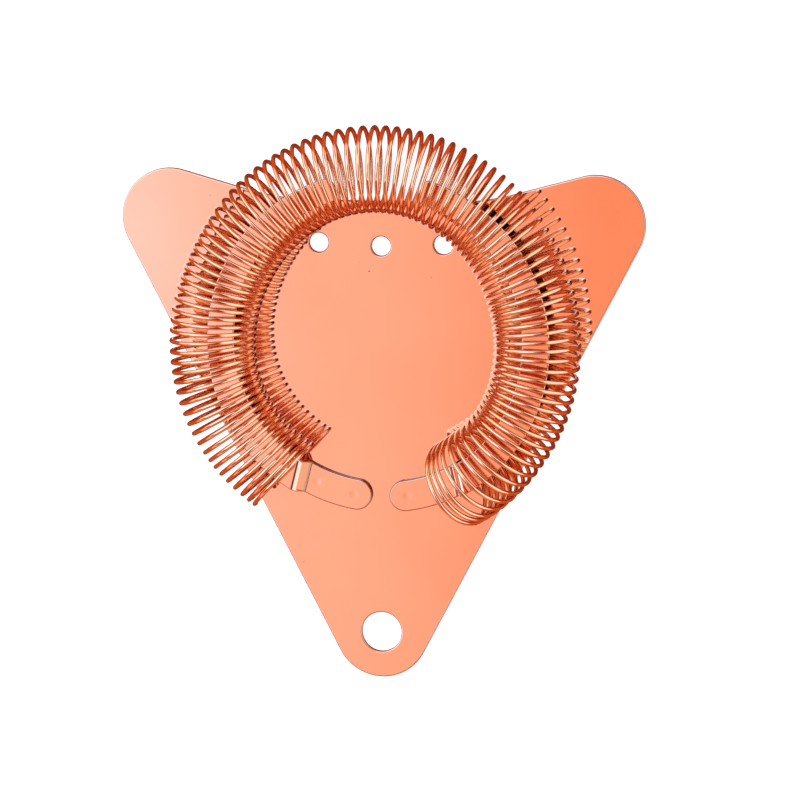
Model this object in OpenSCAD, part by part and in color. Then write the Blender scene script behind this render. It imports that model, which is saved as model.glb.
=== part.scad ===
// Hawthorne strainer: a flat three-cornered plate, two stepped arms spot-welded to its face,
// and one spring coil threaded on the arms.
// Millimetres. The origin is the centre of the ring of arms, on the plate's resting face.
// +Z is the coil's side, +Y is the front edge between the ears, and the tail points along -Y.
// Angles on the coil run clockwise from the front. Angles on an arm run from the tail line.

/* [Plate] */
// Width of the plate across its two ears
plate_w = 120; // [114:1:126]
// Thickness of the plate
plate_t = 1.2; // [0.8:0.1:2]
// Radius of each ear's round end
ear_r = 11.2; // [9:0.1:13]
// Distance of the ear centres ahead of the origin
ear_ahead = 27.6; // [26:0.1:30]
// Radius of the tail's round end
tail_r = 10.9; // [9:0.1:12]
// Distance of the tail's centre behind the origin
tail_behind = 67.2; // [60:0.1:75]
// Distance of the flat front edge ahead of the origin
front_ahead = 32.1; // [31:0.1:33]
// Slope of the front edge where it climbs to each ear, in degrees
front_slope = 15.5; // [13:0.5:18]
// Radius that blends the flat front edge into each slope
front_blend_r = 56; // [30:1:70]

/* [Holes in the plate] */
// Diameter of the hanging hole in the tail
hanging_hole_d = 9.2; // [6:0.1:12]
// Distance of the hanging hole behind the origin
hanging_hole_behind = 67.5; // [66:0.1:69]
// Diameter of the three drain holes
drain_hole_d = 4.4; // [3:0.1:6]
// Distance of the two outer drain holes from the centre line
drain_hole_aside = 14.3; // [10:0.1:18]
// Distance of the two outer drain holes ahead of the origin
drain_hole_ahead = 22.4; // [18:0.1:26]
// Distance of the middle drain hole ahead of the origin
middle_hole_ahead = 21.8; // [18:0.1:26]

/* [Arms] */
// Thickness of each arm
arm_t = 1; // [0.8:0.1:1.2]
// Outer radius of the arms
arm_outer_r = 39.3; // [39:0.1:40]
// Radius of the arms' inner edge
arm_inner_r = 33; // [32.5:0.1:33.5]
// Distance of the inner edge's centre ahead of the origin, which narrows the arms to the front
arm_inner_ahead = 0.8; // [0:0.1:1]
// Height of the raised arms' underside above the plate
arm_rise = 4.8; // [4.6:0.1:5]
// Angle of the middle of each tab's round end
tab_angle = 9; // [7:0.5:11]
// Angle at which the middle of each arm starts to step up
step_angle = 27.6; // [27:0.1:28]
// Angle by which the step's bends are turned back from a line through the origin
step_skew = 14; // [10:1:18]
// Steepness of the step
step_slope = 72; // [65:1:75]
// Inside radius of the step's two bends
bend_r = 0.6; // [0.4:0.1:0.8]
// Angle of each arm's free end
free_end_angle = 165; // [160:1:170]
// Radius of the free end's corners
free_end_corner_r = 2; // [0.5:0.1:2.4]

/* [Spot welds] */
// Diameter of each weld
weld_d = 3; // [2:0.1:4]
// Height of each weld, between the plate and the tab
weld_h = 0.12; // [0.05:0.01:0.2]
// Angle of the weld nearer the tail line
inner_weld_angle = 10; // [9:0.5:12]
// Angle of the weld nearer the step
outer_weld_angle = 24.5; // [22:0.5:26]

/* [Spring coil] */
// Diameter of the wire
wire_d = 1; // [0.8:0.05:1.1]
// Outside diameter of the coil's turns
coil_d = 19.7; // [19.4:0.1:20]
// Number of turns
turns = 98; // [80:1:98]
// Gap between the coil and the plate
coil_gap = 0.2; // [0.2:0.05:0.5]
// Mean radius of the ring that the coil is bent to
ring_r = 37.4; // [37:0.1:38]
// Distance of the ring's centre ahead of the origin
ring_ahead = 2.1; // [1.8:0.1:2.4]
// Distance of the ring's centre to the right of the origin
ring_aside = 0.3; // [0:0.1:0.4]
// How much the bent ring is oval
ring_oval = 0.5; // [0:0.1:0.6]
// Angle at which the oval is longest
oval_angle = 15; // [0:1:30]
// How much the bent ring is three-cornered
ring_lobe = 0.45; // [0:0.05:0.6]
// Angle of one of the three corners
lobe_angle = 5; // [0:1:30]
// Angle of the coil's left-hand end
left_end_angle = 146.7; // [143:0.1:147]
// Angle of the coil's right-hand end
right_end_angle = 151; // [147:0.5:151]
// Angle from one closed turn to the next
closed_pitch = 2.2; // [2.2:0.05:2.5]
// Number of closed turns at the left-hand end
left_closed_turns = 1.5; // [0:0.5:3]
// Number of closed turns at the right-hand end
right_closed_turns = 3; // [1:0.5:4]
// Twist of the first turn, which brings its inner side nearer the gap, as a slope
left_twist = 0.2; // [0:0.05:0.2]
// Number of turns over which the twist dies away
twisted_turns = 8.5; // [8:0.5:12]
// Lean of the closed right-hand turns, which brings their tops nearer the gap, as a slope
right_lean = 0.42; // [0:0.02:0.42]
// Number of turns over which the lean grows
leaning_turns = 6; // [6:0.5:10]
// How much wider the leaning turns are, as a share of the coil's width
right_spread = 0.05; // [0:0.01:0.06]

/* [Hidden] */
$fn = 96;

arc_steps = 36;                     // segments in each round stretch of an outline
wire_sides = 4;                     // flat sides of the wire's section
steps_per_turn = 16;                // sections in each turn of the coil
cut = 1;                            // how far a cutting tool runs past a face

ear_x = plate_w / 2 - ear_r;
tab_bottom_z = plate_t + weld_h;
tab_end_r = (arm_outer_r - arm_inner_r + arm_inner_ahead) / 2;
weld_ring_r = arm_outer_r - tab_end_r;
helix_r = (coil_d - wire_d) / 2;
coil_z = plate_t + coil_gap + coil_d / 2;
// Corner radius of the wire's section that gives it the area of the round wire.
wire_corner_r = wire_d / 2 * sqrt(2 * PI / (wire_sides * sin(360 / wire_sides)));
closed_turns = left_closed_turns + right_closed_turns;
coil_sweep = left_end_angle + right_end_angle;
open_pitch = (coil_sweep - closed_turns * closed_pitch) / (turns - closed_turns);

copper = [0.94, 0.62, 0.48];
arm_copper = [0.90, 0.58, 0.44];
weld_copper = [0.80, 0.50, 0.36];
wire_copper = [0.86, 0.45, 0.28];

// Points on an arc about a centre, from one angle to another.
function arc(centre, r, from, to) = [
    for (i = [0 : arc_steps])
        let (a = from + (to - from) * i / arc_steps)
        centre + r * [cos(a), sin(a)]
];

function mirrored(points) = [for (p = points) [-p.x, p.y]];
function unit(v) = v / norm(v);

// ---- Plate ----

// Right half of the outline: the tail, the ear and the blend into the front edge.
function plate_half() =
    let (
        tail = [0, -tail_behind],
        ear = [ear_x, ear_ahead],
        to_ear = ear - tail,
        side_normal = atan2(to_ear.y, to_ear.x) - acos((tail_r - ear_r) / norm(to_ear)),
        slope_normal = 90 + front_slope,
        slope_start = ear + ear_r * [cos(slope_normal), sin(slope_normal)],
        slope_foot_x = slope_start.x - (slope_start.y - front_ahead) / tan(front_slope),
        blend = [slope_foot_x - front_blend_r * tan(front_slope / 2), front_ahead + front_blend_r]
    )
    concat(
        arc(tail, tail_r, -90, side_normal),
        arc(ear, ear_r, side_normal, slope_normal),
        arc(blend, front_blend_r, front_slope - 90, -90)
    );

module plate_hole(d, x, y) {
    translate([x, y, -cut]) cylinder(d = d, h = plate_t + 2 * cut);
}

module plate() {
    right_half = plate_half();
    left_half = mirrored([for (i = [len(right_half) - 1 : -1 : 1]) right_half[i]]);
    color(copper)
        difference() {
            linear_extrude(plate_t) polygon(concat(right_half, left_half));
            plate_hole(hanging_hole_d, 0, -hanging_hole_behind);
            plate_hole(drain_hole_d, 0, middle_hole_ahead);
            for (side = [-1, 1])
                plate_hole(drain_hole_d, side * drain_hole_aside, drain_hole_ahead);
        }
}

// ---- Arms ----

// Direction from the origin at an angle from the tail line, on the right-hand side.
function arm_direction(a) = [sin(a), -cos(a)];

// Centre of a free-end corner: at a radius from an edge's centre, and one corner radius inside the end.
function corner_centre(edge_centre, r) =
    let (
        end_line = arm_direction(free_end_angle),
        inward = [-cos(free_end_angle), -sin(free_end_angle)],
        off = free_end_corner_r - edge_centre * inward
    )
    (edge_centre * end_line + sqrt(r^2 - off^2)) * end_line + free_end_corner_r * inward;

// Outline of the right-hand arm seen from above, with its tab's round end and rounded free end.
function arm_outline() =
    let (
        inner_centre = [0, arm_inner_ahead],
        outer_corner = corner_centre([0, 0], arm_outer_r - free_end_corner_r),
        inner_corner = corner_centre(inner_centre, arm_inner_r + free_end_corner_r),
        outer_to = atan2(outer_corner.y, outer_corner.x),
        inner_from = atan2(inner_corner.y - inner_centre.y, inner_corner.x),
        tab_from = tab_angle - 90,
        tab_centre = weld_ring_r * arm_direction(tab_angle),
        tab_inner = tab_centre - tab_end_r * arm_direction(tab_angle),
        inner_to = atan2(tab_inner.y - inner_centre.y, tab_inner.x),
        end_square = free_end_angle
    )
    concat(
        arc([0, 0], arm_outer_r, tab_from, outer_to),
        arc(outer_corner, free_end_corner_r, outer_to, end_square),
        arc(inner_corner, free_end_corner_r, end_square, inner_from + 180),
        arc(inner_centre, arm_inner_r, inner_from, inner_to),
        arc(tab_centre, tab_end_r, tab_from + 180, tab_from + 360)
    );

// The strip seen edge-on: flat on the tab, up the step, and flat again along the raised arm.
function strip_profile() =
    let (
        bends = 2 * bend_r + arm_t,
        climb = arm_rise - weld_h,
        straight = (climb - bends + bends * cos(step_slope)) / sin(step_slope),
        step_length = bends * sin(step_slope) + straight * cos(step_slope),
        foot = [0, bend_r + arm_t],
        top = [step_length, climb - bend_r],
        reach = 3 * arm_outer_r
    )
    concat(
        [[-reach, 0]],
        arc(foot, bend_r + arm_t, -90, step_slope - 90),
        arc(top, bend_r, step_slope + 90, 90),
        [[reach, climb], [reach, climb + arm_t]],
        arc(top, bend_r + arm_t, 90, step_slope + 90),
        arc(foot, bend_r, step_slope - 90, -90),
        [[-reach, arm_t]]
    );

module right_hand_arm() {
    step_start = weld_ring_r * arm_direction(step_angle);
    color(arm_copper)
        translate([0, 0, tab_bottom_z])
            intersection() {
                translate([0, 0, -cut]) linear_extrude(arm_rise + arm_t + 2 * cut) polygon(arm_outline());
                translate([step_start.x, step_start.y, 0])
                    rotate([90, 0, step_angle - step_skew])
                        linear_extrude(6 * arm_outer_r, center = true) polygon(strip_profile());
            }
}

module left_arm() {
    mirror([1, 0, 0]) right_hand_arm();
}

module right_arm() {
    right_hand_arm();
}

// ---- Spot welds ----

// One weld, filling the thin gap between the plate and a tab; side is -1 for left and 1 for right.
module weld(side, angle) {
    place = weld_ring_r * arm_direction(angle);
    color(weld_copper)
        translate([side * place.x, place.y, plate_t]) cylinder(d = weld_d, h = weld_h);
}

// ---- Spring coil ----

// Angle round the ring after a number of turns, with the end turns closed up.
function turn_angle(n) =
    n < left_closed_turns ? n * closed_pitch - left_end_angle :
    n > turns - right_closed_turns ? right_end_angle - (turns - n) * closed_pitch :
    left_closed_turns * closed_pitch + (n - left_closed_turns) * open_pitch - left_end_angle;

function ring_radius(a) =
    ring_r + ring_oval * cos(2 * (a - oval_angle)) + ring_lobe * cos(3 * (a - lobe_angle));

// Point on the ring's centre line after a number of turns.
function ring_point(n) =
    let (a = turn_angle(n))
    [ring_aside, ring_ahead, coil_z] + ring_radius(a) * [sin(a), cos(a), 0];

// Share of the first turn's twist that is left after a number of turns.
function twist_share(n) = max(0, 1 - n / twisted_turns);

// Share of the full lean that is reached after a number of turns.
function lean_share(n) = min(1, max(0, 1 - (turns - right_closed_turns - n) / leaning_turns));

// Point on the wire's centre line, on a right-handed helix that starts at the ring's outside.
function wire_point(n) =
    let (
        a = turn_angle(n),
        out = [sin(a), cos(a), 0],
        along = [cos(a), -sin(a), 0],
        spread = 1 + right_spread * lean_share(n),
        twist = left_twist * twist_share(n),
        lean = right_lean * lean_share(n)
    )
    ring_point(n) + helix_r * (
        spread * cos(360 * n) * out
        + [0, 0, sin(360 * n)]
        + (twist * cos(360 * n) + lean * sin(360 * n)) * along
    );

// The wire's section, as corners round the wire with a flat side facing out of the coil.
function wire_section(n) =
    let (
        along = unit(wire_point(n + 0.01) - wire_point(n - 0.01)),
        out = unit(wire_point(n) - ring_point(n)),
        aside = cross(along, out)
    )
    [
        for (side = [0 : wire_sides - 1])
            let (a = 360 * (side + 0.5) / wire_sides)
            wire_point(n) + wire_corner_r * (cos(a) * out + sin(a) * aside)
    ];

module spring_coil() {
    last = round(turns * steps_per_turn);
    points = [for (i = [0 : last]) each wire_section(i / steps_per_turn)];
    walls = [
        for (i = [0 : last - 1], side = [0 : wire_sides - 1])
            let (
                a = i * wire_sides + side,
                b = i * wire_sides + (side + 1) % wire_sides
            )
            each [[a, a + wire_sides, b + wire_sides], [a, b + wire_sides, b]]
    ];
    start_cap = [for (side = [0 : wire_sides - 1]) side];
    end_cap = [for (side = [wire_sides - 1 : -1 : 0]) last * wire_sides + side];
    color(wire_copper)
        polyhedron(points = points, faces = concat(walls, [start_cap, end_cap]));
}

plate();
left_arm();
right_arm();
weld(-1, inner_weld_angle);  // left_inner_weld
weld(-1, outer_weld_angle);  // left_outer_weld
weld(1, inner_weld_angle);  // right_inner_weld
weld(1, outer_weld_angle);  // right_outer_weld
spring_coil();
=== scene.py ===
import math

import bmesh
import bpy
from mathutils import Matrix, Vector
from mathutils.geometry import tessellate_polygon


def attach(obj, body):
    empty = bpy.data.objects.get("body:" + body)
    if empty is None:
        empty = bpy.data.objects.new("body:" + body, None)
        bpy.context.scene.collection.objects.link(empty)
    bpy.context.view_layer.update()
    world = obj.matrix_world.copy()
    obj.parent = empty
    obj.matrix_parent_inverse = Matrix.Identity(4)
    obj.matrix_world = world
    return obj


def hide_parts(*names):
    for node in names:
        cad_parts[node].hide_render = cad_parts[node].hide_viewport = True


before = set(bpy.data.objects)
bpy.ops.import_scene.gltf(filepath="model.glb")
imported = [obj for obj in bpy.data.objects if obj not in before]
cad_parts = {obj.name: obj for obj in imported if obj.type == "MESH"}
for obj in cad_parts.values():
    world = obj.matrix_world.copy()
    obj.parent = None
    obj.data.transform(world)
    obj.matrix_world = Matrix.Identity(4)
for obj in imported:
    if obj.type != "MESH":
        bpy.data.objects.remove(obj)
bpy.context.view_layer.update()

# A Hawthorne strainer: a mirror-polished plate, two stepped arms that are spot-welded to it, and a long
# coil spring that is threaded on both arms.

# ---------------------------------------------------------------- sizes, as the CAD model has them
# Lengths are in metres and angles in degrees, unless a note says otherwise. The origin is the centre of the
# ring of arms, on the plate's resting face. The tail points along -Y and the ears are ahead, towards +Y.

MM = 0.001

PLATE_THICKNESS = 1.2 * MM
EAR_RADIUS = 11.2 * MM
EAR = Vector((60 * MM - EAR_RADIUS, 27.6 * MM))
TAIL_RADIUS = 10.9 * MM
TAIL = Vector((0, -67.2 * MM))
FRONT_AHEAD = 32.1 * MM
FRONT_SLOPE = 15.5
FRONT_BLEND_RADIUS = 56 * MM
HANGING_HOLE = (Vector((0, -67.5 * MM)), 4.6 * MM)
DRAIN_RADIUS = 2.2 * MM
DRAIN_HOLES = [
    (Vector((-14.3 * MM, 22.4 * MM)), DRAIN_RADIUS),
    (Vector((0, 21.8 * MM)), DRAIN_RADIUS),
    (Vector((14.3 * MM, 22.4 * MM)), DRAIN_RADIUS),
]

# Angles on an arm are from the tail line, towards the arm's own side. The skew turns the step's bends back
# from a radial line.
ARM_THICKNESS = 1.0 * MM
ARM_OUTER_RADIUS = 39.3 * MM
ARM_INNER_RADIUS = 33.0 * MM
ARM_INNER_AHEAD = 0.8 * MM
ARM_RISE = 4.8 * MM
TAB_ANGLE = 9
STEP_ANGLE = 27.6
STEP_SKEW = 14
STEP_SLOPE = math.radians(72)  # in radians, because only formulas use it
BEND_RADIUS = 0.6 * MM
FREE_END_ANGLE = 165
FREE_END_CORNER_RADIUS = 2 * MM
TAB_END_RADIUS = (ARM_OUTER_RADIUS - ARM_INNER_RADIUS + ARM_INNER_AHEAD) / 2
WELD_RING_RADIUS = ARM_OUTER_RADIUS - TAB_END_RADIUS

WELD_DIAMETER = 3 * MM
WELD_HEIGHT = 0.12 * MM
WELD_ANGLES = {"inner": 10, "outer": 24.5}

# The pitch is from turn to turn round the ring, and the end angles are from the front edge's middle. A
# twist moves a turn's outermost point along the ring, a lean moves its topmost one, and a spread widens the
# turn, each by a share of the helix's radius.
WIRE_RADIUS = 0.5 * MM
COIL_DIAMETER = 19.7 * MM
COIL_TURNS = 98
COIL_GAP = 0.2 * MM
LEFT_END_ANGLE, RIGHT_END_ANGLE = 146.7, 151
CLOSED_PITCH = 2.2
LEFT_CLOSED_TURNS, RIGHT_CLOSED_TURNS = 1.5, 3
LEFT_TWIST, TWISTED_TURNS = 0.2, 8.5
RIGHT_LEAN, LEANING_TURNS, RIGHT_SPREAD = 0.42, 6, 0.05
RING_RADIUS = 37.4 * MM
RING_OVAL, OVAL_ANGLE = 0.5 * MM, 15
RING_LOBE, LOBE_ANGLE = 0.45 * MM, 5
HELIX_RADIUS = COIL_DIAMETER / 2 - WIRE_RADIUS
RING_CENTRE = Vector((0.3 * MM, 2.1 * MM, PLATE_THICKNESS + COIL_GAP + COIL_DIAMETER / 2))
CLOSED_TURNS = LEFT_CLOSED_TURNS + RIGHT_CLOSED_TURNS
COIL_SWEEP = LEFT_END_ANGLE + RIGHT_END_ANGLE
OPEN_PITCH = (COIL_SWEEP - CLOSED_TURNS * CLOSED_PITCH) / (COIL_TURNS - CLOSED_TURNS)

# ---------------------------------------------------------------- sizes of the finish

ARC_STEPS = 64
ARM_SIDE_STEPS = 3 * ARC_STEPS
FREE_CORNER_STEPS = 16
TAB_END_STEPS = 48
HOLE_STEPS = 96

# A cut edge is duller the more it faces outwards, and fully dull before it is upright. The polish takes a
# share of that off the raised arm. The crease's painted shade is placed from the start of the step.
ROUNDING_STEPS = 5
PLATE_EDGE_RADIUS = 0.3 * MM
ARM_EDGE_RADIUS = 0.28 * MM
DULLNESS_OF_CUTS = 1.5
RAISED_ARM_POLISH = 0.85
# The crease's band is painted shade, in the cut walls' dark colour.
CREASE_SHADE_AT, CREASE_SHADE_HALF_WIDTH = 0.35 * MM, 0.3 * MM
BEND_STEPS = 24
BEND_CUT_TOLERANCE = 0.0001 * MM
SLOPE_PROBE = 0.01 * MM

DIMPLE_RADIUS = 1.3 * MM
DIMPLE_DEPTH = 0.014 * MM
DIMPLE_RINGS = 10
DIMPLE_STEPS = 40

NUGGET_INSET = 0.12 * MM
NUGGET_BULGE = 0.06 * MM
NUGGET_RAGGED = 0.03 * MM
NUGGET_LOBES = (5, 9)
NUGGET_STEPS, NUGGET_ROWS = 48, 8

# What the round wire adds to the CAD one: all the turns lean a little, those at the front of the ring are
# looser, and two slow waves, each (degrees, turns, start in radians), make the spacing uneven.
OVERALL_LEAN = -0.025
LOOSER_FRONT = 1.9
UNEVEN_WAVES = [(0.22, 11.3, 0), (0.12, 4.7, 1)]
SETTLING_TURNS = 6
WIRE_SIDES = 12
STEPS_PER_TURN = 48
DIRECTION_PROBE = 0.002  # in turns


# ---------------------------------------------------------------- outlines


def arc(centre, radius, start, end, steps=ARC_STEPS):
    """Points on an arc, with angles in degrees counter-clockwise from +X."""
    angles = [math.radians(start + (end - start) * i / steps) for i in range(steps + 1)]
    return [centre + radius * Vector((math.cos(a), math.sin(a))) for a in angles]


def circle(centre, radius, steps=HOLE_STEPS):
    """Points on a full circle, the first not repeated."""
    return arc(centre, radius, 0, 360, steps)[:-1]


def without_repeats(points, closest=0.005 * MM):
    """The closed outline with each point that nearly repeats the one before it dropped."""
    kept = []
    for p in points:
        if not kept or (p - kept[-1]).length > closest:
            kept.append(p)
    if (kept[0] - kept[-1]).length <= closest:
        kept.pop()
    return kept


def polar(v):
    """The direction of a 2D vector, in degrees counter-clockwise from +X."""
    return math.degrees(math.atan2(v.y, v.x))


def plate_outline():
    """The tail, the sides, the ears and the dipped front edge, counter-clockwise."""
    to_ear = EAR - TAIL
    spread = math.degrees(math.acos((TAIL_RADIUS - EAR_RADIUS) / to_ear.length))
    side_normal = polar(to_ear) - spread
    slope_normal = 90 + FRONT_SLOPE
    slope = math.radians(FRONT_SLOPE)
    slope_start = arc(EAR, EAR_RADIUS, slope_normal, slope_normal, 1)[0]
    foot_x = slope_start.x - (slope_start.y - FRONT_AHEAD) / math.tan(slope)
    blend_x = foot_x - FRONT_BLEND_RADIUS * math.tan(slope / 2)
    blend = Vector((blend_x, FRONT_AHEAD + FRONT_BLEND_RADIUS))
    right = (
        arc(TAIL, TAIL_RADIUS, -90, side_normal)
        + arc(EAR, EAR_RADIUS, side_normal, slope_normal)
        + arc(blend, FRONT_BLEND_RADIUS, FRONT_SLOPE - 90, -90)
    )
    left = [Vector((-p.x, p.y)) for p in reversed(right)]
    return without_repeats(right + left)


def arm_direction(angle):
    """Direction from the origin at an angle from the tail line, on the right-hand side."""
    a = math.radians(angle)
    return Vector((math.sin(a), -math.cos(a)))


def free_corner(edge_centre, radius):
    """Centre of a free-end corner: a radius from an edge's centre, and one corner radius inside the end."""
    end_line = arm_direction(FREE_END_ANGLE)
    inward = arm_direction(FREE_END_ANGLE - 90)
    off = FREE_END_CORNER_RADIUS - edge_centre.dot(inward)
    along = edge_centre.dot(end_line) + math.sqrt(radius**2 - off**2)
    return along * end_line + FREE_END_CORNER_RADIUS * inward


def arm_outline():
    """The right-hand arm from above, counter-clockwise."""
    origin = Vector((0, 0))
    inner_centre = Vector((0, ARM_INNER_AHEAD))
    outer_corner = free_corner(origin, ARM_OUTER_RADIUS - FREE_END_CORNER_RADIUS)
    inner_corner = free_corner(inner_centre, ARM_INNER_RADIUS + FREE_END_CORNER_RADIUS)
    tab_centre = WELD_RING_RADIUS * arm_direction(TAB_ANGLE)
    tab_inner = tab_centre - TAB_END_RADIUS * arm_direction(TAB_ANGLE)
    outer_to = polar(outer_corner)
    inner_from = polar(inner_corner - inner_centre)
    inner_to = polar(tab_inner - inner_centre)
    return without_repeats(
        arc(origin, ARM_OUTER_RADIUS, TAB_ANGLE - 90, outer_to, ARM_SIDE_STEPS)
        + arc(outer_corner, FREE_END_CORNER_RADIUS, outer_to, FREE_END_ANGLE, FREE_CORNER_STEPS)
        + arc(inner_corner, FREE_END_CORNER_RADIUS, FREE_END_ANGLE, inner_from + 180, FREE_CORNER_STEPS)
        + arc(inner_centre, ARM_INNER_RADIUS, inner_from, inner_to, ARM_SIDE_STEPS)
        + arc(tab_centre, TAB_END_RADIUS, TAB_ANGLE + 90, TAB_ANGLE + 270, TAB_END_STEPS)
    )


# ---------------------------------------------------------------- mesh helpers


def outward_normals(loop):
    """The unit normal out of the material at each point of a loop that has the material on its left."""
    normals = []
    for i, p in enumerate(loop):
        before = (p - loop[i - 1]).normalized()
        after = (loop[(i + 1) % len(loop)] - p).normalized()
        along = (before + after).normalized()
        normals.append(Vector((along.y, -along.x)))
    return normals


def new_object(mesh, material):
    """A new object for the mesh, in the scene, with the mesh's name and one material."""
    mesh.materials.append(material)
    obj = bpy.data.objects.new(mesh.name, mesh)
    bpy.context.scene.collection.objects.link(obj)
    return obj


def to_mesh(bm, name):
    """The finished bmesh as a mesh."""
    mesh = bpy.data.meshes.new(name)
    bm.to_mesh(mesh)
    bm.free()
    return mesh


def new_vertex(bm, x, y, z, normal):
    """A vertex that keeps its true normal in the layer flat_normal."""
    v = bm.verts.new((x, y, z))
    v[bm.verts.layers.float_vector["flat_normal"]] = normal
    return v


def bridge(bm, low, high):
    """Quads between two rings, facing the side from which both run left to right with low below high."""
    faces = []
    for i in range(len(low)):
        j = (i + 1) % len(low)
        faces.append(bm.faces.new((low[i], low[j], high[j], high[i])))
    return faces


def cap_ends(bm, rings):
    """One flat face over each end of a stack of rings."""
    bm.faces.new(list(reversed(rings[0])))
    bm.faces.new(rings[-1])


def rounded_profile(thickness, edge_radius):
    """The edge from bottom to top: (inset as a share of the radius, z, normal's part up, its part out)."""
    lower = []
    for k in range(ROUNDING_STEPS + 1):
        a = math.pi / 2 * k / ROUNDING_STEPS
        lower.append((1 - math.sin(a), edge_radius * (1 - math.cos(a)), -math.cos(a), math.sin(a)))
    return lower + [(inset, thickness - z, -up, out) for inset, z, up, out in reversed(lower)]


def add_dimple(bm, z, centre, radius, depth):
    """A shallow round dimple in a top face at height z. Returns its rim, which bounds the face round it."""
    rings = []
    for k in range(DIMPLE_RINGS):
        share = 1 - k / DIMPLE_RINGS
        sink = depth * (1 - share**2) ** 2
        slope = 4 * depth * share * (1 - share**2) / radius
        ring = []
        for p in reversed(circle(centre, radius * share, DIMPLE_STEPS)):
            inward = (centre - p).normalized() * slope
            normal = Vector((inward.x, inward.y, 1)).normalized()
            ring.append(new_vertex(bm, p.x, p.y, z - sink, normal))
        rings.append(ring)
    for outer, inner in zip(rings, rings[1:]):
        bridge(bm, inner, outer)
    middle = new_vertex(bm, centre.x, centre.y, z - depth, Vector((0, 0, 1)))
    last = rings[-1]
    for i in range(DIMPLE_STEPS):
        bm.faces.new((last[(i + 1) % DIMPLE_STEPS], last[i], middle))
    return rings[0]


def rounded_sheet(outline, holes, thickness, edge_radius, dimples=()):
    """A flat sheet as a bmesh, its edges rounded all along the outline and every hole.

    Each vertex keeps how dull its finish is in a float layer: 1 on the walls that the stamping tool cut,
    and 0 on the polished faces. The arms later paint the shade of their crease into that same layer. A
    dimple is (centre, radius, depth) on the top face.
    """
    bm = bmesh.new()
    bm.verts.layers.float_vector.new("flat_normal")
    dull_and_shade = bm.verts.layers.float.new("dull_and_shade")
    profile = rounded_profile(thickness, edge_radius)

    bottom_loops, top_loops = [], []
    for loop in [outline, *[list(reversed(circle(*hole))) for hole in holes]]:
        normals = outward_normals(loop)
        rings = []
        for inset, z, up, out in profile:
            ring = []
            for p, n in zip(loop, normals):
                q = p - n * edge_radius * inset
                v = new_vertex(bm, q.x, q.y, z, Vector((n.x * out, n.y * out, up)))
                v[dull_and_shade] = min(1, DULLNESS_OF_CUTS * out)
                ring.append(v)
            rings.append(ring)
        for low, high in zip(rings, rings[1:]):
            bridge(bm, low, high)
        bottom_loops.append(rings[0])
        top_loops.append(rings[-1])
    top_loops += [add_dimple(bm, thickness, *dimple) for dimple in dimples]

    for loops, faces_up in ((bottom_loops, False), (top_loops, True)):
        corners = [v for loop in loops for v in loop]
        for triangle in tessellate_polygon([[v.co for v in loop] for loop in loops]):
            a, b, c = [corners[i] for i in triangle]
            is_up = (b.co - a.co).cross(c.co - a.co).z > 0
            bm.faces.new((a, b, c) if is_up == faces_up else (a, c, b))
    return bm


def finish_mesh(bm, name):
    """The bmesh as a smooth mesh that is shaded by the normals it keeps."""
    layer = bm.verts.layers.float_vector["flat_normal"]
    normals = [v[layer].normalized() for v in bm.verts]
    for face in bm.faces:
        face.smooth = True
    mesh = to_mesh(bm, name)
    mesh.normals_split_custom_set_from_vertices(normals)
    mesh.attributes.remove(mesh.attributes["flat_normal"])
    return mesh


# ---------------------------------------------------------------- the strip's step


def bend_height(t, lower_radius, upper_radius, climb, length):
    """Height of a face that bends up, climbs and levels off, at a distance t past the start of the step."""
    lower_end = lower_radius * math.sin(STEP_SLOPE)
    upper_start = length - upper_radius * math.sin(STEP_SLOPE)
    if t <= 0:
        return 0
    if t >= length:
        return climb
    if t < lower_end:
        return lower_radius - math.sqrt(lower_radius**2 - t**2)
    if t > upper_start:
        return climb - upper_radius + math.sqrt(upper_radius**2 - (length - t) ** 2)
    return lower_radius * (1 - math.cos(STEP_SLOPE)) + (t - lower_end) * math.tan(STEP_SLOPE)


def step_size():
    """(climb, length) of the step from the tab up to the raised arm."""
    bends = 2 * BEND_RADIUS + ARM_THICKNESS
    climb = ARM_RISE - WELD_HEIGHT
    straight = (climb - bends + bends * math.cos(STEP_SLOPE)) / math.sin(STEP_SLOPE)
    return climb, bends * math.sin(STEP_SLOPE) + straight * math.cos(STEP_SLOPE)


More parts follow.
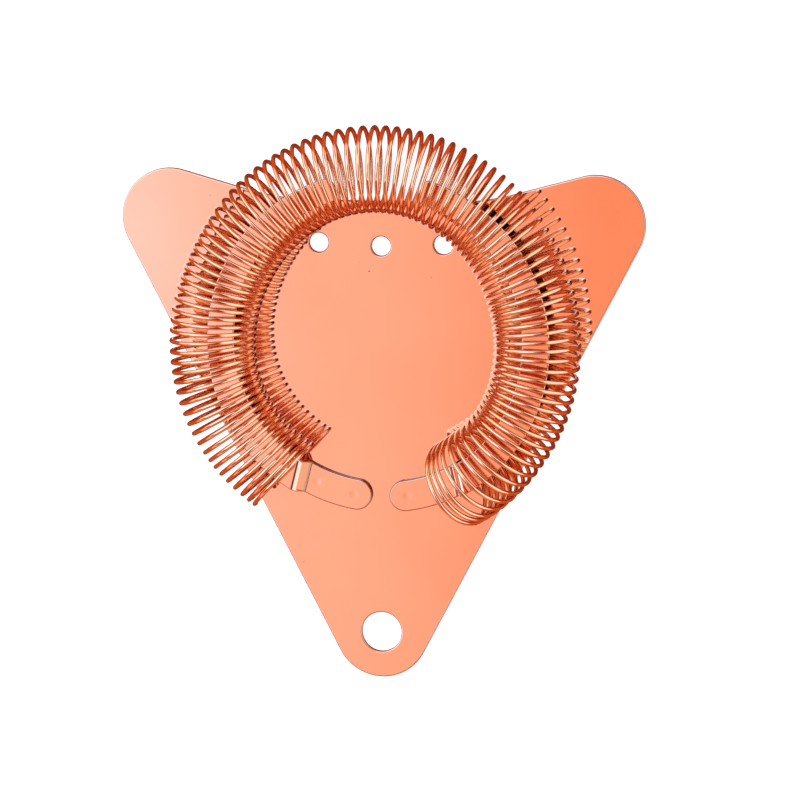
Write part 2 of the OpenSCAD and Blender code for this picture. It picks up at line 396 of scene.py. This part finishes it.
def lift_over_step(bm):
    """Cuts the flat right-hand arm along its bend lines and lifts it over the step, normals with it.

    The crease at the foot of the step gets a painted shade, as dark and dull as the tab's cut walls. The
    raised arm's walls stay bright.
    """
    layer = bm.verts.layers.float_vector["flat_normal"]
    dull_and_shade = bm.verts.layers.float["dull_and_shade"]
    climb, length = step_size()
    across_bends = arm_direction(STEP_ANGLE - STEP_SKEW + 90)
    start = across_bends.dot(WELD_RING_RADIUS * arm_direction(STEP_ANGLE))
    along = Vector((across_bends.x, across_bends.y, 0))
    outer = BEND_RADIUS + ARM_THICKNESS
    for i in range(BEND_STEPS + 1):
        everything = list(bm.verts) + list(bm.edges) + list(bm.faces)
        place = along * (start + length * i / BEND_STEPS)
        bmesh.ops.bisect_plane(
            bm, geom=everything, plane_co=place, plane_no=along, dist=BEND_CUT_TOLERANCE
        )

    def height(t, z):
        low = bend_height(t, outer, BEND_RADIUS, climb, length)
        high = bend_height(t, BEND_RADIUS, outer, climb, length)
        return low + (ARM_THICKNESS + high - low) * z / ARM_THICKNESS

    for v in bm.verts:
        t = v.co.dot(along) - start
        z = v.co.z
        slope = (height(t + SLOPE_PROBE, z) - height(t - SLOPE_PROBE, z)) / (2 * SLOPE_PROBE)
        stretch = (height(t, ARM_THICKNESS) - height(t, 0)) / ARM_THICKNESS
        n = v[layer]
        level = Vector((n.x, n.y, 0)) - along * (n.z * slope / stretch)
        v[layer] = Vector((level.x, level.y, n.z / stretch)).normalized()
        raised = min(1, max(0, t / length))
        # Painted shade: a dark band along the crease at the foot of the step.
        crease_shade = 1 - abs(t - CREASE_SHADE_AT) / CREASE_SHADE_HALF_WIDTH
        v[dull_and_shade] = max(v[dull_and_shade] * (1 - RAISED_ARM_POLISH * raised), crease_shade)
        v.co.z = height(t, z)


# ---------------------------------------------------------------- pieces


def make_plate(material):
    """The three-cornered plate, with every edge and hole polished round."""
    bm = rounded_sheet(plate_outline(), [HANGING_HOLE, *DRAIN_HOLES], PLATE_THICKNESS, PLATE_EDGE_RADIUS)
    plate = new_object(finish_mesh(bm, "polished_plate"), material)
    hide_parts("plate")
    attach(plate, "frame")


def make_arm(side_name, side, material):
    """One stepped arm, with the dimples that the welding tips left on its tab."""
    dimples = [
        (WELD_RING_RADIUS * arm_direction(angle), DIMPLE_RADIUS, DIMPLE_DEPTH)
        for angle in WELD_ANGLES.values()
    ]
    bm = rounded_sheet(arm_outline(), [], ARM_THICKNESS, ARM_EDGE_RADIUS, dimples)
    lift_over_step(bm)
    layer = bm.verts.layers.float_vector["flat_normal"]
    for v in bm.verts:
        v.co = Vector((side * v.co.x, v.co.y, v.co.z + PLATE_THICKNESS + WELD_HEIGHT))
        v[layer] = Vector((side * v[layer].x, v[layer].y, v[layer].z))
    if side < 0:
        bmesh.ops.reverse_faces(bm, faces=list(bm.faces))
    arm = new_object(finish_mesh(bm, f"stepped_{side_name}_arm"), material)
    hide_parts(f"{side_name}_arm")
    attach(arm, "frame")


def make_weld(side_name, side, place_name, angle, material):
    """The fused metal of one spot weld: a thin disc between plate and tab, with a ragged and bulged rim."""
    centre = WELD_RING_RADIUS * arm_direction(angle)
    centre.x *= side
    few, many = NUGGET_LOBES
    bm = bmesh.new()
    rings = []
    for row in range(NUGGET_ROWS + 1):
        level = row / NUGGET_ROWS
        bulge = NUGGET_BULGE * math.sin(math.pi * level)
        ring = []
        for i in range(NUGGET_STEPS):
            a = 2 * math.pi * i / NUGGET_STEPS
            ragged = NUGGET_RAGGED * (math.sin(few * a + angle) + math.sin(many * a + 2 * side))
            r = WELD_DIAMETER / 2 - NUGGET_INSET + bulge + ragged
            ring.append(bm.verts.new((
                centre.x + r * math.cos(a),
                centre.y + r * math.sin(a),
                PLATE_THICKNESS + WELD_HEIGHT * level,
            )))
        rings.append(ring)
    for low, high in zip(rings, rings[1:]):
        for face in bridge(bm, low, high):
            face.smooth = True
    cap_ends(bm, rings)
    weld = new_object(to_mesh(bm, f"{side_name}_{place_name}_weld_nugget"), material)
    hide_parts(f"{side_name}_{place_name}_weld")
    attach(weld, "frame")


def turn_angle(n):
    """Angle round the ring after n turns, from the front edge's middle towards the right-hand ear.

    The end turns are closed up. Between them the spacing is looser at the front and a little uneven, which
    sets in over a few turns and dies away before the turns that lean.
    """
    if n < LEFT_CLOSED_TURNS:
        return n * CLOSED_PITCH - LEFT_END_ANGLE
    if n > COIL_TURNS - RIGHT_CLOSED_TURNS:
        return RIGHT_END_ANGLE - (COIL_TURNS - n) * CLOSED_PITCH
    opened = n - LEFT_CLOSED_TURNS
    to_leaning = max(0, COIL_TURNS - RIGHT_CLOSED_TURNS - LEANING_TURNS - n)
    settled = min(1, opened / SETTLING_TURNS, to_leaning / SETTLING_TURNS)
    even = LEFT_CLOSED_TURNS * CLOSED_PITCH + opened * OPEN_PITCH - LEFT_END_ANGLE
    looser = LOOSER_FRONT * math.sin(math.pi * even / RIGHT_END_ANGLE)
    uneven = sum(
        degrees * math.sin(2 * math.pi * n / turns + start) for degrees, turns, start in UNEVEN_WAVES
    )
    return even + settled * (looser + uneven)


def ring_point(n):
    """Point on the coil's centre line after n turns, with the directions out of and along the ring."""
    angle = turn_angle(n)
    a = math.radians(angle)
    out = Vector((math.sin(a), math.cos(a), 0))
    along = Vector((math.cos(a), -math.sin(a), 0))
    radius = (
        RING_RADIUS
        + RING_OVAL * math.cos(math.radians(2 * (angle - OVAL_ANGLE)))
        + RING_LOBE * math.cos(math.radians(3 * (angle - LOBE_ANGLE)))
    )
    return RING_CENTRE + radius * out, out, along


def wire_point(n):
    """Point on the wire's centre line after n turns of a right-handed helix, which starts outermost."""
    middle, out, along = ring_point(n)
    turned = Vector((math.cos(2 * math.pi * n), math.sin(2 * math.pi * n)))
    twist = LEFT_TWIST * max(0, 1 - n / TWISTED_TURNS)
    lean_share = min(1, max(0, 1 - (COIL_TURNS - RIGHT_CLOSED_TURNS - n) / LEANING_TURNS))
    spread = 1 + RIGHT_SPREAD * lean_share
    lean = RIGHT_LEAN * lean_share + OVERALL_LEAN * (1 - lean_share) * min(1, n / TWISTED_TURNS)
    return middle + HELIX_RADIUS * (
        spread * turned.x * out
        + Vector((0, 0, turned.y))
        + (twist * turned.x + lean * turned.y) * along
    )


def make_coil(material):
    """The spring: one round wire swept along the bent helix, cleanly cut at its ends, its UV map in mm."""
    bm = bmesh.new()
    uv_layer = bm.loops.layers.uv.new("along_wire")
    rings, lengths = [], [0]
    for i in range(COIL_TURNS * STEPS_PER_TURN + 1):
        n = i / STEPS_PER_TURN
        point = wire_point(n)
        along = (wire_point(n + DIRECTION_PROBE) - wire_point(n - DIRECTION_PROBE)).normalized()
        out = (point - ring_point(n)[0]).normalized()
        aside = along.cross(out).normalized()
        out = aside.cross(along)
        if i:
            lengths.append(lengths[-1] + (point - wire_point((i - 1) / STEPS_PER_TURN)).length / MM)
        ring = []
        for side in range(WIRE_SIDES):
            a = 2 * math.pi * side / WIRE_SIDES
            ring.append(bm.verts.new(point + WIRE_RADIUS * (math.cos(a) * out + math.sin(a) * aside)))
        rings.append(ring)
    around = 2 * math.pi * WIRE_RADIUS / MM / WIRE_SIDES
    for i, (ring, next_ring) in enumerate(zip(rings, rings[1:])):
        for side, face in enumerate(bridge(bm, ring, next_ring)):
            face.smooth = True
            places = ((i, side), (i, side + 1), (i + 1, side + 1), (i + 1, side))
            for loop, (row, column) in zip(face.loops, places):
                loop[uv_layer].uv = (lengths[row], column * around)
    cap_ends(bm, rings)
    coil = new_object(to_mesh(bm, "round_wire_coil"), material)
    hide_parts("spring_coil")
    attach(coil, "coil")


# ---------------------------------------------------------------- materials
# Colours are linear red, green and blue. A noise's scale is about the number of ripples in a metre of the
# object. The lines and patches scale each axis instead: X, Y and Z of the object in metres, or the wire's
# length and girth in millimetres.

SHEET_BRIGHT = (0.90, 0.44, 0.27, 1)
PLATE_DEEP = (0.88, 0.425, 0.255, 1)
PLATE_CUT_EDGE = (0.75, 0.31, 0.17, 1)
ARM_DEEP = (0.87, 0.42, 0.25, 1)
# The arms' cut walls are darker still. This colour also paints the shade in the crease at each step's foot.
ARM_CUT_EDGE_AND_CREASE_SHADE = (0.33, 0.11, 0.045, 1)
PIT = (0.35, 0.12, 0.06, 1)
WIRE_BRIGHT = (0.92, 0.41, 0.20, 1)
WIRE_DEEP = (0.86, 0.365, 0.165, 1)
WELD_LIGHT = (0.55, 0.36, 0.27, 1)
WELD_DARK = (0.30, 0.18, 0.15, 1)

PLATE_ROUGHNESS = 0.02
ARM_ROUGHNESS = 0.03
POLISHING_LINES = (60, 4000, 60)
DRAWING_LINES = (0.08, 6, 1)
WIRE_PATCHES = (0.15, 0.4, 1)


class Shader:
    """Builds one material's node tree, a node and its inputs at a time."""

    def __init__(self, name):
        self.material = bpy.data.materials.new(name)
        self.material.use_nodes = True
        self.tree = self.material.node_tree
        self.bsdf = self.tree.nodes["Principled BSDF"]
        self.bsdf.inputs["Metallic"].default_value = 1

    def add(self, kind, settings=None, **inputs):
        """A new node. A setting is one of its properties, and an input is a value or a node's output."""
        node = self.tree.nodes.new(kind)
        for key, value in (settings or {}).items():
            setattr(node, key, value)
        for key, value in inputs.items():
            self.put(node.inputs[key.replace("_", " ")], value)
        return node

    def put(self, socket, value):
        """Links an output to a socket, or sets the socket's value."""
        if isinstance(value, bpy.types.NodeSocket):
            self.tree.links.new(value, socket)
        else:
            socket.default_value = value

    def place(self, source, scale):
        """Object or UV coordinates, scaled by an amount along each axis."""
        coordinates = self.add("ShaderNodeTexCoord")
        mapping = self.add("ShaderNodeMapping", Scale=scale, Vector=coordinates.outputs[source])
        return mapping.outputs["Vector"]

    def noise(self, where, scale, detail, roughness=0.5):
        """Noise from 0 to 1."""
        node = self.add("ShaderNodeTexNoise", Vector=where, Scale=scale, Detail=detail, Roughness=roughness)
        return node.outputs["Fac"]

    def span(self, value, low, high, to_low=0, to_high=1):
        """A value from one range carried to another and held there."""
        node = self.add("ShaderNodeMapRange", Value=value)
        for key, number in (("From Min", low), ("From Max", high), ("To Min", to_low), ("To Max", to_high)):
            node.inputs[key].default_value = number
        return node.outputs["Result"]

    def plus(self, a, b):
        """The sum of two outputs or values."""
        node = self.add("ShaderNodeMath", {"operation": "ADD"})
        self.put(node.inputs[0], a)
        self.put(node.inputs[1], b)
        return node.outputs[0]

    def mix(self, share, a, b):
        """A colour that goes from a to b as share goes from 0 to 1."""
        node = self.add("ShaderNodeMix", {"data_type": "RGBA"})
        self.put(node.inputs["Factor"], share)
        for socket, value in (("A", a), ("B", b)):
            colours = [s for s in node.inputs if s.name == socket and s.type == "RGBA"]
            self.put(colours[0], value)
        return [s for s in node.outputs if s.type == "RGBA"][0]

    def bump(self, height, distance, **inputs):
        """The normal of a surface that rises by a distance as height goes from 0 to 1."""
        node = self.add("ShaderNodeBump", Height=height, Distance=distance, Strength=1, **inputs)
        return node.outputs["Normal"]

    def done(self, colour, roughness, normal):
        """The finished material."""
        self.put(self.bsdf.inputs["Base Color"], colour)
        self.put(self.bsdf.inputs["Roughness"], roughness)
        self.put(self.bsdf.inputs["Normal"], normal)
        return self.material


def polished_sheet(name, bright, deep, cut_edge_and_crease_shade, least_roughness):
    """Mirror-polished copper plating: faint waviness, polishing lines, smudges and a few dark pits.

    The walls that the stamping tool cut are darker and duller than the faces; tight creases get painted
    shade.
    """
    s = Shader(name)
    here = s.place("Object", (1, 1, 1))
    dull_and_shade = s.add("ShaderNodeAttribute", {"attribute_name": "dull_and_shade"}).outputs["Fac"]
    tone = s.span(s.noise(here, scale=45, detail=3), 0.35, 0.65)
    pits = s.span(s.noise(here, scale=900, detail=1), 0.79, 0.83)
    smudges = s.noise(here, scale=110, detail=5, roughness=0.6)
    lines = s.noise(s.place("Object", POLISHING_LINES), scale=1, detail=3)
    waves = s.noise(here, scale=38, detail=1)

    colour = s.mix(pits, s.mix(tone, bright, deep), PIT)
    # Cut walls take the cut-edge colour. The arms' creases take the same colour as painted shade.
    colour = s.mix(dull_and_shade, colour, cut_edge_and_crease_shade)
    roughness = s.span(lines, 0.3, 0.7, to_low=least_roughness, to_high=least_roughness + 0.02)
    roughness = s.plus(roughness, s.span(smudges, 0.45, 0.75, to_high=0.05))
    roughness = s.plus(roughness, s.span(pits, 0, 1, to_high=0.4))
    roughness = s.plus(roughness, s.span(dull_and_shade, 0, 1, to_high=0.2))
    wavy = s.bump(waves, distance=0.02 * MM)
    normal = s.bump(lines, distance=0.0002 * MM, Normal=wavy)
    return s.done(colour, roughness, normal)


def bright_wire(name, bright, deep):
    """Copper-plated spring wire, with fine lines along it from drawing."""
    s = Shader(name)
    drawn = s.noise(s.place("UV", DRAWING_LINES), scale=1, detail=3)
    patches = s.noise(s.place("UV", WIRE_PATCHES), scale=1, detail=2)
    colour = s.mix(s.span(patches, 0.3, 0.7), bright, deep)
    roughness = s.span(drawn, 0.3, 0.7, to_low=0.04, to_high=0.07)
    roughness = s.plus(roughness, s.span(patches, 0.4, 0.8, to_high=0.03))
    normal = s.bump(drawn, distance=0.001 * MM)
    return s.done(colour, roughness, normal)


def fused_metal(name):
    """Dull, heat-tinted weld metal, with a fine grain."""
    s = Shader(name)
    here = s.place("Object", (1, 1, 1))
    tint = s.noise(here, scale=1500, detail=3)
    grain = s.noise(here, scale=4000, detail=4)
    colour = s.mix(s.span(tint, 0.35, 0.65), WELD_LIGHT, WELD_DARK)
    roughness = s.span(tint, 0.3, 0.7, to_low=0.35, to_high=0.6)
    normal = s.bump(grain, distance=0.02 * MM)
    return s.done(colour, roughness, normal)


# ---------------------------------------------------------------- stage

# The floor, the lamps and the camera. The camera's tilt is off the plate's normal, its turn is
# counter-clockwise from +X, and its lens and sensor are in millimetres.
FLOOR_SIZE = 6
FLOOR_BELOW = 0.02 * MM
FLOOR_COLOUR = (0.30, 0.25, 0.22, 1)
FLOOR_ROUGHNESS = 0.8
FLOOR_GLOW = 0.82

KEY_PLACE = (-0.5, 0.25, 0.9)
FILL_PLACE = (0.6, -0.3, 0.7)

CAMERA_AIM = Vector((4.13 * MM, -13.51 * MM, 0))
CAMERA_DISTANCE = 0.845
CAMERA_TILT, CAMERA_TURN, CAMERA_ROLL = 13.775, 44.367, -0.069
CAMERA_LENS, CAMERA_SENSOR = 166.97, 36

# The room's bands of colour, from straight down upwards: each is (colour, where it starts, where it is
# full), by the height of the direction, from -1 to 1.
STRAIGHT_DOWN = (0.30, 0.055, 0.018)
BELOW = (0.66, 0.18, 0.06)
HORIZON = (0.75, 0.24, 0.10)
LOW_WALLS = (1.12, 0.72, 0.58)
UPPER_ROOM = (0.55, 0.14, 0.04)
ROOM_BANDS = [
    (BELOW, -0.9, -0.6),
    (HORIZON, -0.2, 0.0),
    (LOW_WALLS, 0.03, 0.12),
    (UPPER_ROOM, 0.36, 0.48),
]

# The lights in the room and the gaps in them: each is (direction, full within, gone beyond), in degrees.
SIDE_LIGHT = (1.2, 1.9, 2.6)
EAST = ((0.90, -0.20, 0.40), 30, 38)
NORTH_EAST = ((0.78, 0.55, 0.30), 26, 34)
WEST = ((-0.75, 0.45, 0.45), 28, 36)
OVERHEAD_LIGHT = (1.25, 2.5, 4.2)
OVERHEAD = ((-0.30, 0.12, 0.95), 36, 42)
OVERHEAD_STARTS_AHEAD = (-0.42, -0.32)
CAMERA_GAP = (0.12, 0.03, 0.01)
CAMERA_PLACE = ((0.19, 0.15, 0.97), 12, 17)
CAMERA_STAND = ((0.21, -0.12, 0.97), 11, 16)

# The dimmer window that the plate mirrors to the camera, and where across the room its colours change.
WINDOW = ((-0.170, -0.167, 0.971), 8, 11)
WINDOW_LEFT = (1.25, 1.40, 1.82)
WINDOW_MIDDLE = (1.18, 0.94, 0.93)
WINDOW_RIGHT = (1.12, 0.59, 0.42)
RIGHT_TO_MIDDLE = (-0.11, -0.19)
MIDDLE_TO_LEFT = (-0.19, -0.25)


def make_floor():
    """A plain pale studio floor."""
    bpy.ops.mesh.primitive_plane_add(size=FLOOR_SIZE, location=(0, 0, -FLOOR_BELOW))
    floor = bpy.context.object
    floor.name = "studio_floor"
    s = Shader("studio_floor")
    s.bsdf.inputs["Metallic"].default_value = 0
    s.bsdf.inputs["Base Color"].default_value = FLOOR_COLOUR
    s.bsdf.inputs["Roughness"].default_value = FLOOR_ROUGHNESS
    s.bsdf.inputs["Emission Color"].default_value = (1, 1, 1, 1)
    s.bsdf.inputs["Emission Strength"].default_value = FLOOR_GLOW
    floor.data.materials.append(s.material)
    floor.visible_glossy = False


def make_softbox(name, location, size, power, colour):
    """A soft rectangular light that faces the object."""
    light = bpy.data.lights.new(name, "AREA")
    light.shape = "RECTANGLE"
    light.size, light.size_y = size
    light.energy = power
    light.color = colour
    lamp = bpy.data.objects.new(name, light)
    lamp.location = location
    lamp.rotation_euler = (-Vector(location)).to_track_quat("-Z", "Y").to_euler()
    lamp.visible_glossy = False
    bpy.context.scene.collection.objects.link(lamp)


def make_world():
    """The studio that the polished metal mirrors, which the camera itself sees as plain white.

    A warm room with pale low walls has soft lights on three sides and a broad one overhead. In that one are
    the dimmer window that the plate mirrors, and the dark gaps of the camera and its stand.
    """
    world = bpy.data.worlds.new("studio_dome")
    bpy.context.scene.world = world
    world.use_nodes = True
    tree = world.node_tree
    tree.nodes.clear()

    def add(kind, **settings):
        """A new node with some of its properties set."""
        node = tree.nodes.new(kind)
        for key, value in settings.items():
            setattr(node, key, value)
        return node

    direction = add("ShaderNodeTexCoord").outputs["Generated"]

    def soft_step(value, start, full):
        """0 up to the start, 1 from where it is full, and smooth between."""
        step = add("ShaderNodeMapRange", interpolation_type="SMOOTHSTEP")
        tree.links.new(value, step.inputs["Value"])
        step.inputs["From Min"].default_value = start
        step.inputs["From Max"].default_value = full
        return step.outputs["Result"]

    def spot(towards, inner, outer):
        """1 within the inner angle of a direction, falling to 0 at the outer angle."""
        dot = add("ShaderNodeVectorMath", operation="DOT_PRODUCT")
        dot.inputs[1].default_value = Vector(towards).normalized()
        tree.links.new(direction, dot.inputs[0])
        return soft_step(dot.outputs["Value"], math.cos(math.radians(outer)), math.cos(math.radians(inner)))

    def layer(under, over, share):
        """Lays a colour, or another layer, over the one under it."""
        node = add("ShaderNodeMix", data_type="RGBA")
        tree.links.new(share, node.inputs["Factor"])
        sockets = [s for s in node.inputs if s.type == "RGBA"]
        for socket, value in zip(sockets, (under, over)):
            if isinstance(value, bpy.types.NodeSocket):
                tree.links.new(value, socket)
            else:
                socket.default_value = (*value, 1)
        return [s for s in node.outputs if s.type == "RGBA"][0]

    axes = add("ShaderNodeSeparateXYZ")
    tree.links.new(direction, axes.inputs[0])
    across, ahead, height = axes.outputs["X"], axes.outputs["Y"], axes.outputs["Z"]

    room = STRAIGHT_DOWN
    for colour, start, full in ROOM_BANDS:
        room = layer(room, colour, soft_step(height, start, full))
    for side_light in (EAST, NORTH_EAST, WEST):
        room = layer(room, SIDE_LIGHT, spot(*side_light))
    ceiling = layer(room, OVERHEAD_LIGHT, spot(*OVERHEAD))
    room = layer(room, ceiling, soft_step(ahead, *OVERHEAD_STARTS_AHEAD))
    window = layer(WINDOW_RIGHT, WINDOW_MIDDLE, soft_step(across, *RIGHT_TO_MIDDLE))
    window = layer(window, WINDOW_LEFT, soft_step(across, *MIDDLE_TO_LEFT))
    room = layer(room, window, spot(*WINDOW))
    for gap in (CAMERA_PLACE, CAMERA_STAND):
        room = layer(room, CAMERA_GAP, spot(*gap))

    dome = add("ShaderNodeBackground")
    tree.links.new(room, dome.inputs["Color"])
    plain = add("ShaderNodeBackground")
    plain.inputs["Color"].default_value = (1, 1, 1, 1)
    path = add("ShaderNodeLightPath")
    mix = add("ShaderNodeMixShader")
    tree.links.new(path.outputs["Is Camera Ray"], mix.inputs["Fac"])
    tree.links.new(dome.outputs[0], mix.inputs[1])
    tree.links.new(plain.outputs[0], mix.inputs[2])
    output = add("ShaderNodeOutputWorld")
    tree.links.new(mix.outputs[0], output.inputs["Surface"])


def make_camera():
    """A long lens, tilted off the plate's normal towards the right-hand ear."""
    tilt, turn, roll = [math.radians(a) for a in (CAMERA_TILT, CAMERA_TURN, CAMERA_ROLL)]
    back = Vector((math.sin(tilt) * math.cos(turn), math.sin(tilt) * math.sin(turn), math.cos(tilt)))
    right = Vector((0, 1, 0)).cross(back).normalized()
    up = back.cross(right)
    data = bpy.data.cameras.new("camera")
    data.lens = CAMERA_LENS
    data.sensor_width = CAMERA_SENSOR
    camera = bpy.data.objects.new("camera", data)
    facing = Matrix((right, up, back)).transposed()
    rolled = facing @ Matrix.Rotation(roll, 3, "Z")
    camera.matrix_world = Matrix.Translation(CAMERA_AIM + back * CAMERA_DISTANCE) @ rolled.to_4x4()
    bpy.context.scene.collection.objects.link(camera)
    bpy.context.scene.camera = camera


# ---------------------------------------------------------------- the scene

make_camera()
make_world()
make_floor()
make_softbox("key_softbox", KEY_PLACE, size=(0.5, 0.5), power=12, colour=(1, 0.98, 0.96))
make_softbox("fill_softbox", FILL_PLACE, size=(0.4, 0.4), power=5, colour=(1, 0.9, 0.82))

plate_metal = polished_sheet("plate_copper", SHEET_BRIGHT, PLATE_DEEP, PLATE_CUT_EDGE, PLATE_ROUGHNESS)
arm_metal = polished_sheet("arm_copper_and_crease_shade", SHEET_BRIGHT, ARM_DEEP, ARM_CUT_EDGE_AND_CREASE_SHADE, ARM_ROUGHNESS)
wire_metal = bright_wire("wire_copper_finish", WIRE_BRIGHT, WIRE_DEEP)
weld_metal = fused_metal("weld_finish")

make_plate(plate_metal)
make_coil(wire_metal)
for side_name, side in (("left", -1), ("right", 1)):
    make_arm(side_name, side, arm_metal)
    for place_name, angle in WELD_ANGLES.items():
        make_weld(side_name, side, place_name, angle, weld_metal)

bpy.context.scene.view_settings.view_transform = "Standard"
